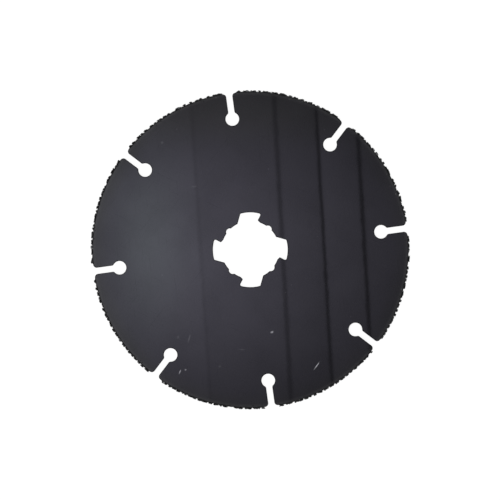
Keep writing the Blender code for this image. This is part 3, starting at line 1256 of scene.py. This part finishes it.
@dataclass
class GritRim:
    """The crusts of crushed carbide, one on the bead of each sector."""

    plan: RimPlan
    node: str = "carbide_grit_{}"
    blank_node: str = "steel_blank"
    tone: str = "grain_tone"
    setback: float = 0.45 * MM
    seed: int = 20
    shape_count: int = 8
    cuts: int = 9
    nearest_cut: float = 0.34
    farthest_cut: float = 0.54
    merge_distance: float = 0.01
    narrowest: float = 0.8
    lowest_root: float = -0.02 * MM
    highest_root: float = 0.04 * MM
    half_width: float = 0.9 * MM
    stray: StrayBatch = StrayBatch()
    stray_seed: int = 7
    batches: tuple[GrainBatch, ...] = (
        GrainBatch(
            Grade.COARSE, 2.2 * MM, (-0.36 * MM, 0.36 * MM), 0.12 * MM,
            1.0 * MM, 1.6 * MM, 0.45 * MM, 0.84 * MM, 0.6,
        ),
        GrainBatch(
            Grade.FINE, 0.5 * MM, (-0.6 * MM, 0.0, 0.6 * MM), 0.14 * MM,
            0.36 * MM, 0.62 * MM, 0.1 * MM, 0.32 * MM, 1.4,
        ),
    )

    def model_shapes(self, dice: random.Random) -> list[Mesh]:
        """Models the grain shapes: blocks, cut down by planes at random.

        Args:
            dice: The source of the random cuts.

        Returns:
            The shapes' meshes, each about 1 m across.
        """
        shapes = []
        for _ in range(self.shape_count):
            put_down_everything()
            bpy.ops.mesh.primitive_cube_add(size=1.0)
            lump = bpy.context.active_object
            bpy.ops.object.mode_set(mode="EDIT")
            for _ in range(self.cuts):
                normal = random_direction(dice).normalized()
                point = normal * dice.uniform(self.nearest_cut, self.farthest_cut)
                bpy.ops.mesh.select_all(action="SELECT")
                bpy.ops.mesh.bisect(plane_co=point, plane_no=normal, use_fill=True, clear_outer=True)
            bpy.ops.mesh.select_all(action="SELECT")
            bpy.ops.mesh.remove_doubles(threshold=self.merge_distance)
            bpy.ops.mesh.normals_make_consistent(inside=False)
            bpy.ops.object.mode_set(mode="OBJECT")
            shapes.append(lump.data.copy())
            bpy.data.objects.remove(lump)
        return shapes

    def fit(self, mesh: Mesh, angle: float, centre: Vector, size: Vector) -> None:
        """Squeezes a grain into a box on the rim.

        Args:
            mesh: The grain's mesh.
            angle: The box's place along the rim.
            centre: The box's middle if it stood on the +X axis: outwards, along and across the rim.
            size: The box's size in the same directions.
        """
        places = [vert.co for vert in mesh.vertices]
        low = Vector([min(place[k] for place in places) for k in range(3)])
        high = Vector([max(place[k] for place in places) for k in range(3)])
        extent = high - low
        squeeze = Matrix.Diagonal((size.x / extent.x, size.y / extent.y, size.z / extent.z, 1.0))
        place = Matrix.Translation(centre) @ squeeze @ Matrix.Translation(-(low + high) / 2)
        mesh.transform(about_axis(angle) @ place)

    def tumble(self, shapes: list[Mesh], dice: random.Random) -> Mesh:
        """Picks a grain shape and turns it, both at random.

        Args:
            shapes: The grain shapes.
            dice: The source of the choice and the turn.

        Returns:
            A copy of the shape.
        """
        mesh = dice.choice(shapes).copy()
        pole = random_direction(dice)
        mesh.transform(Matrix.Rotation(dice.uniform(0.0, math.tau), 4, pole))
        return mesh

    def settle(
        self, mesh: Mesh, batch: GrainBatch, angle: float, side: float, dice: random.Random,
    ) -> None:
        """Presses a grain into its place on the bead.

        Args:
            mesh: The grain's mesh.
            batch: The grain's batch.
            angle: Its place along the rim.
            side: The middle of its row.
            dice: The source of its size and height.
        """
        rise = batch.highest_crest - batch.lowest_crest
        crest = batch.lowest_crest + rise * dice.random() ** batch.rarity
        root = dice.uniform(self.lowest_root, self.highest_root)
        size = dice.uniform(batch.smallest, batch.largest)
        wide = size * dice.uniform(self.narrowest, 1.0)
        room = self.half_width - wide / 2
        across = max(-room, min(room, side + dice.uniform(-batch.side_drift, batch.side_drift)))
        centre = Vector((self.plan.blank_radius + (root + crest) / 2, 0.0, across))
        self.fit(mesh, angle, centre, Vector((crest - root, size, wide)))

    def settle_stray(self, mesh: Mesh, angle: float, face: float, dice: random.Random) -> None:
        """Lays a stray grain on a face of the blank.

        Args:
            mesh: The grain's mesh.
            angle: Its place along the rim.
            face: The height of the face.
            dice: The source of its size and of its distance from the rim.
        """
        stray = self.stray
        size = dice.uniform(stray.smallest, stray.largest)
        inset = size / 2 + (stray.band - size) * dice.random() ** stray.rarity
        crest = dice.uniform(stray.lowest_crest, stray.highest_crest)
        outwards = math.copysign(1.0, face)
        height = face + outwards * (crest - stray.root) / 2
        centre = Vector((self.plan.blank_radius - inset, 0.0, height))
        length = size * dice.uniform(stray.shortest, stray.longest)
        self.fit(mesh, angle, centre, Vector((size, length, crest + stray.root)))

    def add_grain(self, mesh: Mesh, index: int, grade: Grade, tone: float) -> None:
        """Moves a grain to its sector, gives it its tone and selects it.

        Args:
            mesh: The grain's mesh, on the +X axis.
            index: The sector's number, from 0.
            grade: The grain's grade.
            tone: The grain's tone, from 0 to 1.
        """
        mesh.transform(about_axis(self.plan.sector_turn(index)))
        tones = mesh.attributes.new(self.tone, "FLOAT", "POINT")
        tones.data.foreach_set("value", [tone] * len(mesh.vertices))
        grain = bpy.data.objects.new(f"{grade.value}_grain", mesh)
        bpy.context.scene.collection.objects.link(grain)
        grain.select_set(True)
        bpy.context.view_layer.objects.active = grain

    def build_sector(
        self, index: int, shapes: list[Mesh], dice: random.Random, stray_dice: random.Random,
    ) -> Object:
        """Sets the grains of one sector and joins them into one crust.

        Args:
            index: The sector's number, from 0.
            shapes: The grain shapes.
            dice: The source of the grains' places.
            stray_dice: The source of the stray grains' places.

        Returns:
            The crust.
        """
        half_angle = self.plan.half_angle(self.setback)
        arc_length = 2 * half_angle * self.plan.blank_radius
        put_down_everything()
        for batch in self.batches:
            count = round(arc_length / batch.pitch)
            for side in batch.sides:
                for i in range(count):
                    share = (i + dice.random()) / count
                    mesh = self.tumble(shapes, dice)
                    self.settle(mesh, batch, (2 * share - 1) * half_angle, side, dice)
                    self.add_grain(mesh, index, batch.grade, dice.random())
        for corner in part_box(self.blank_node):
            for _ in range(round(arc_length / self.stray.pitch)):
                mesh = self.tumble(shapes, stray_dice)
                angle = stray_dice.uniform(-half_angle, half_angle)
                self.settle_stray(mesh, angle, corner.z, stray_dice)
                self.add_grain(mesh, index, Grade.STRAY, stray_dice.random())
        bpy.ops.object.join()
        crust = bpy.context.active_object
        crust.name = crust.data.name = f"grit_{index + 1}"
        return crust

    def build(self) -> list[Object]:
        """Models the grain shapes and builds every sector's crust from copies of them.

        Returns:
            The crusts, in the order of the sectors.
        """
        dice = random.Random(self.seed)
        shapes = self.model_shapes(dice)
        stray_dice = random.Random(self.stray_seed)
        crusts = [self.build_sector(i, shapes, dice, stray_dice) for i in range(self.plan.slot_count)]
        for shape in shapes:
            bpy.data.meshes.remove(shape)
        return crusts

    def dress(self, crusts: list[Object], finish: DarkCarbide, effects: Effects) -> None:
        """Gives the crusts their finish and seats them."""
        dress_all(crusts, finish.material(effects, self.tone), self.node)


# The studio


@dataclass(frozen=True)
class Glow:
    """A soft bright spot on the light bank, given as it shows in the disc's upper face.

    Attributes:
        strength: The light that the spot adds at its middle.
        x: Its middle.
        y: Its middle.
        spread_x: How far it spreads.
        spread_y: How far it spreads.
        tint: Its colour, on top of the bank's.
    """

    strength: float
    x: float
    y: float
    spread_x: float
    spread_y: float
    tint: Triple = (1.0, 1.0, 1.0)


@dataclass(frozen=True)
class Seam:
    """A dark seam between two panels of the light bank, given as it shows in the disc's upper face.

    Attributes:
        x: Where it crosses the disc's X axis.
        lean: How far it moves towards -X for each unit towards +Y.
        spread: How far its darkness spreads to each side.
        depth: The share of the light that it takes away at its middle.
        step: How bright the panel after it is, as a share of the one before it.
    """

    x: float
    lean: float
    spread: float
    depth: float
    step: float


@dataclass
class Studio:
    """Floor, overhead light bank, surrounding light and camera."""

    lens: float = 200.0
    sensor: float = 36.0
    view_width: float = 195.45 * MM
    camera_x: float = -0.117 * MM
    camera_y: float = -0.09 * MM

    floor_size: float = 12.0
    floor_colour: Rgba = (0.85, 0.85, 0.85, 1.0)
    floor_shadow_colour: Rgba = (0.2, 0.2, 0.2, 1.0)
    floor_white: float = 0.9

    bank_clearance: float = 80.0 * MM
    bank_size: float = 0.9
    bank_colour: Rgba = (0.995, 0.955, 1.22, 1.0)
    bank_pale_colour: Rgba = (1.0, 0.985, 1.06, 1.0)
    pale_rim_start: float = 54.0 * MM
    pale_rim_end: float = 64.0 * MM
    pale_top_start: float = 36.0 * MM
    pale_top_end: float = 56.0 * MM
    gloss_share: float = 0.0378
    base_light: float = 0.003
    outer_light: float = 0.85
    outer_light_start: float = 66.0 * MM
    outer_light_end: float = 130.0 * MM
    glows: tuple[Glow, ...] = (
        Glow(0.0255, -40.3 * MM, 3.0 * MM, 10.8 * MM, 20.9 * MM, (0.72, 1.0, 0.72)),
        Glow(0.0527, -23.5 * MM, 0.8 * MM, 44.0 * MM, 39.0 * MM),
        Glow(0.0034, 63.0 * MM, 15.0 * MM, 7.5 * MM, 22.0 * MM),
    )
    seams: tuple[Seam, ...] = (
        Seam(-19.45 * MM, 0.065, 0.62 * MM, 0.17, 0.885),
        Seam(12.7 * MM, 0.0557, 0.78 * MM, 0.57, 0.945),
        Seam(28.98 * MM, 0.0592, 0.58 * MM, 0.97, 1.21),
        Seam(44.75 * MM, 0.0575, 0.67 * MM, 0.99, 1.04),
    )

    seam_steepness: float = 4.0

    surround_light: float = 0.62
    screen_count: int = 32
    screen_gap_light: float = 0.45
    screen_edge: float = -0.2
    key_place: Triple = (-0.9, -0.7, 1.0)
    key_size: float = 1.5
    key_power: float = 10.0

    @property
    def face_height(self) -> float:
        """The height of the disc's upper face."""
        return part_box("steel_blank")[1].z

    @property
    def camera_distance(self) -> float:
        """The camera's height above the disc's upper face."""
        return self.view_width * self.lens / self.sensor

    @property
    def bank_distance(self) -> float:
        """The light bank's height above the disc's upper face."""
        return self.camera_distance + self.bank_clearance

    @property
    def mirror_scale(self) -> float:
        """How much larger the bank is than what the upper face shows of it."""
        return 1.0 + self.bank_distance / self.camera_distance

    def build(self) -> None:
        """Sets up the whole studio."""
        bpy.context.scene.view_settings.view_transform = "Standard"
        self.build_floor()
        self.build_bank()
        self.build_surround()
        self.build_key()
        self.build_camera()

    def seen(self, sheet: NodeSheet) -> NodeSocket:
        """Whether the camera, a reflection or glass looks at a surface, as a number.

        Args:
            sheet: The node sheet of the floor or the world.

        Returns:
            1 if so, and 0 for light that only falls on the object.
        """
        path = sheet.add("ShaderNodeLightPath").outputs
        direct = sheet.math("MAXIMUM", path["Is Camera Ray"], path["Is Glossy Ray"])
        return sheet.math("MAXIMUM", direct, path["Is Transmission Ray"])

    def build_floor(self) -> None:
        """A white floor under the grit, which keeps a faint shadow and is clear from below."""
        put_down_everything()
        bpy.ops.mesh.primitive_plane_add(size=self.floor_size, location=(0.0, 0.0, CAD_BOX[0].z))
        floor = bpy.context.active_object
        floor.name = "floor"
        material, sheet = bare_material("white_floor")
        plain = sheet.add("ShaderNodeBsdfDiffuse", {"Color": self.floor_colour})
        shadow = sheet.add("ShaderNodeBsdfDiffuse", {"Color": self.floor_shadow_colour})
        white = sheet.add("ShaderNodeEmission", {"Strength": self.floor_white})
        lit = sheet.add("ShaderNodeAddShader", {0: white.outputs[0], 1: shadow.outputs[0]})
        seen = self.seen(sheet)
        upper = sheet.add("ShaderNodeMixShader", {0: seen, 1: plain.outputs[0], 2: lit.outputs[0]})
        below = sheet.add("ShaderNodeNewGeometry").outputs["Backfacing"]
        clear = sheet.add("ShaderNodeBsdfTransparent")
        both = sheet.add("ShaderNodeMixShader", {0: below, 1: upper.outputs[0], 2: clear.outputs[0]})
        sheet.add("ShaderNodeOutputMaterial", {"Surface": both.outputs[0]})
        floor.data.materials.append(material)

    def bank_light(self) -> Material:
        """The light of the bank: soft glows, divided by the seams, with a plain bright margin.

        Returns:
            The material.
        """
        material, sheet = bare_material("bank_light")
        shrink = 1.0 / self.mirror_scale
        place = sheet.add("ShaderNodeTexCoord").outputs["Object"]
        flat = sheet.vector("MULTIPLY", place, (shrink, shrink, 0.0))
        axes = sheet.add("ShaderNodeSeparateXYZ", {"Vector": flat}).outputs
        total: Any = (self.base_light,) * 3
        for glow in self.glows:
            moved = sheet.vector("SUBTRACT", flat, (glow.x, glow.y, 0.0))
            reach = sheet.vector("DIVIDE", moved, (glow.spread_x, glow.spread_y, 1.0))
            fall = self.bell(sheet, sheet.vector("DOT_PRODUCT", reach, reach))
            tint = tuple(glow.strength * part for part in glow.tint)
            total = sheet.vector("MULTIPLY_ADD", fall, tint, total)
        share: Any = 1.0 / self.gloss_share
        for seam in self.seams:
            upright = sheet.math("MULTIPLY_ADD", axes["Y"], seam.lean, axes["X"])
            past = sheet.math("SUBTRACT", upright, seam.x)
            steep = sheet.math("POWER", sheet.math("DIVIDE", past, seam.spread), self.seam_steepness)
            left = sheet.math("MULTIPLY_ADD", self.bell(sheet, steep), -seam.depth, 1.0)
            level = sheet.ramp(past, -seam.spread, seam.spread, 1.0, seam.step)
            share = sheet.math("MULTIPLY", share, sheet.math("MULTIPLY", left, level))
        reach = sheet.vector("LENGTH", flat)
        margin = sheet.ramp(reach, self.outer_light_start, self.outer_light_end, 0.0, self.outer_light)
        light = sheet.vector("MULTIPLY_ADD", total, share, margin)
        pale = sheet.math(
            "MAXIMUM",
            sheet.ramp(reach, self.pale_rim_start, self.pale_rim_end, 0.0, 1.0),
            sheet.ramp(axes["Y"], self.pale_top_start, self.pale_top_end, 0.0, 1.0),
        )
        colour = sheet.vector("MULTIPLY", light, sheet.blend(pale, self.bank_colour, self.bank_pale_colour))
        glowing = sheet.add("ShaderNodeEmission", {"Color": colour})
        sheet.add("ShaderNodeOutputMaterial", {"Surface": glowing.outputs[0]})
        return material

    def bell(self, sheet: NodeSheet, square: NodeSocket) -> NodeSocket:
        """A bell curve of the square of a distance, or of a higher even power for steeper sides."""
        return sheet.math("EXPONENT", sheet.math("MULTIPLY", square, -0.5))

    def build_bank(self) -> None:
        """The overhead light bank, which only shows in reflections."""
        height = self.face_height + self.bank_distance
        put_down_everything()
        bpy.ops.mesh.primitive_plane_add(size=self.bank_size, location=(0.0, 0.0, height))
        bank = bpy.context.active_object
        bank.name = "light_bank"
        bank.data.materials.append(self.bank_light())
        bank.visible_camera = False

    def build_surround(self) -> None:
        """White light from all round, which reflections see as a ring of soft screens with dim gaps."""
        world = bpy.data.worlds.new("surround")
        bpy.context.scene.world = world
        world.use_nodes = True
        sheet = NodeSheet(world.node_tree)
        background = world.node_tree.nodes["Background"]
        background.inputs["Color"].default_value = (1.0, 1.0, 1.0, 1.0)
        way = sheet.add("ShaderNodeTexCoord").outputs["Generated"]
        axes = sheet.add("ShaderNodeSeparateXYZ", {"Vector": way}).outputs
        turn = sheet.math("ARCTAN2", axes["Y"], axes["X"])
        wave = sheet.math("COSINE", sheet.math("MULTIPLY", turn, float(self.screen_count)))
        screens = sheet.ramp(wave, -1.0, self.screen_edge, self.screen_gap_light, 1.0)
        path = sheet.add("ShaderNodeLightPath").outputs
        white = sheet.math("MAXIMUM", path["Is Camera Ray"], path["Is Transmission Ray"])
        light = sheet.between(path["Is Glossy Ray"], self.surround_light, screens)
        sheet.feed(background.inputs["Strength"], sheet.between(white, light, 1.0))

    def build_key(self) -> None:
        """A soft lamp from the front left, which models the grit and doesn't show in the coat."""
        lamp = bpy.data.lights.new("key", "AREA")
        lamp.size = self.key_size
        lamp.energy = self.key_power
        key = bpy.data.objects.new("key", lamp)
        key.location = self.key_place
        key.visible_glossy = False
        key.rotation_mode = "QUATERNION"
        key.rotation_quaternion = (-Vector(self.key_place)).to_track_quat("-Z", "Y")
        bpy.context.scene.collection.objects.link(key)

    def build_camera(self) -> None:
        """The camera, straight above the disc."""
        data = bpy.data.cameras.new("camera")
        data.lens = self.lens
        data.sensor_width = self.sensor
        camera = bpy.data.objects.new("camera", data)
        camera.location = (self.camera_x, self.camera_y, self.face_height + self.camera_distance)
        bpy.context.scene.collection.objects.link(camera)
        bpy.context.scene.camera = camera


def main() -> None:
    """Builds the disc's pieces in order, then the studio around them."""
    logging.basicConfig(level=logging.INFO, format="%(message)s")
    effects = Effects()
    plan = RimPlan()
    blank = SteelBlank(plan)
    blank.dress(blank.build(), BlackCoat(), effects)
    braze = BrazeRim(plan)
    braze.dress(braze.build(), DarkBraze(), effects)
    grit = GritRim(plan)
    grit.dress(grit.build(), DarkCarbide(), effects)
    Studio().build()


if __name__ == "__main__":
    main()
